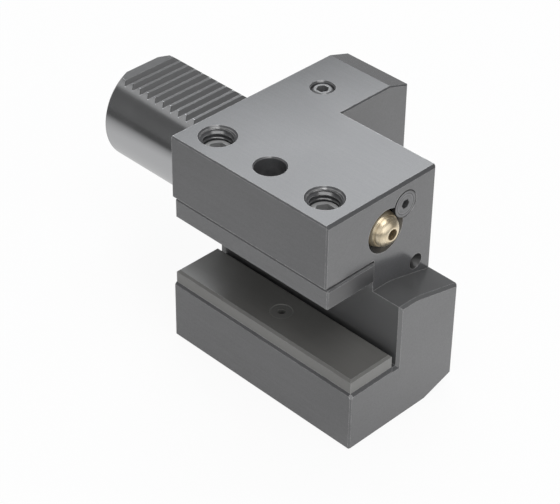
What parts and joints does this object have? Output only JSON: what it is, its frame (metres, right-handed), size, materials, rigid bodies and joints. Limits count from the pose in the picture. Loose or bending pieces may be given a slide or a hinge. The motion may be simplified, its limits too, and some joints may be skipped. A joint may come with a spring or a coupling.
{
  "type": "vdi tool holder",
  "caption": "Axial turret tool holder: round shank with clamping teeth, flange, and a side-open slot where a screwed-down plate clamps a square tool; swivelling coolant nozzle.",
  "frame": {"origin": "where the shank's axis meets the flange's seating face", "axes": "+X along the shank's axis from the shank towards the tool, +Z towards the clamp screws, -Y towards the open side of the slot"},
  "size_m": [0.146, 0.083, 0.0825],
  "materials": {
    "body_steel": "black oxide over fine-ground steel, satin",
    "plate_steel": "black oxide, satin",
    "shim_steel": "black oxide, ground, satin",
    "screw_steel": "black oxide, semi-gloss",
    "lock_screw_steel": "black oxide, satin",
    "plug_steel": "black oxide, satin",
    "spring_steel": "bright spring wire",
    "nozzle_brass": "turned, polished",
    "seal_rubber": "matte black nitrile"
  },
  "bodies": {
    "root": {"holder_body": "body_steel", "shim_plate": "shim_steel", "shim_screw": "screw_steel", "lifting_spring": "spring_steel", "riser_plug": "plug_steel", "cross_plug": "plug_steel", "shank_seal": "seal_rubber", "inlet_seal": "seal_rubber"},
    "clamp": {"clamp_plate": "plate_steel", "hanger_screw": "screw_steel"},
    "rear_screw": {"clamp_screw_rear": "screw_steel"},
    "front_screw": {"clamp_screw_front": "screw_steel"},
    "nozzle_seat": {"nozzle_seal": "seal_rubber"},
    "nozzle": {"coolant_nozzle": "nozzle_brass"},
    "nozzle_lock": {"nozzle_lock_screw": "lock_screw_steel"}
  },
  "joints": [
    {"name": "rear_screw_turn", "type": "hinge", "parent": "clamp", "child": "rear_screw", "pos_m": [0.0103, -0.0315, 0.02], "axis": [0, 0, 1], "range_deg": [-597, 0]},
    {"name": "front_screw_turn", "type": "hinge", "parent": "clamp", "child": "front_screw", "pos_m": [0.0587, -0.0315, 0.02], "axis": [0, 0, 1], "range_deg": [-597, 0]},
    {"name": "plate_slide", "type": "slide", "parent": "root", "child": "clamp", "axis": [0, 0, 1], "range_m": [-0.0029, 0], "stiffness_N_per_m": 2000, "springref_m": 0.003, "deforming": ["lifting_spring"]},
    {"name": "nozzle_swivel", "type": "hinge", "parent": "root", "child": "nozzle_seat", "pos_m": [0.0672, -0.0156, 0.02], "axis": [1, 0, 0], "continuous": true},
    {"name": "nozzle_tilt", "type": "hinge", "parent": "nozzle_seat", "child": "nozzle", "pos_m": [0.0672, -0.0156, 0.02], "axis": [0, 1, 0], "range_deg": [-12, 12]},
    {"name": "nozzle_lock_turn", "type": "hinge", "parent": "root", "child": "nozzle_lock", "pos_m": [0.0705, -0.0068, 0.0261], "axis": [1, 0, 0], "range_deg": [0, 180]}
  ],
  "couplings": [
    {"joint": "rear_screw_turn", "follows": "plate_slide", "rad_per_m": 3590.4},
    {"joint": "front_screw_turn", "follows": "plate_slide", "rad_per_m": 3590.4}
  ]
}
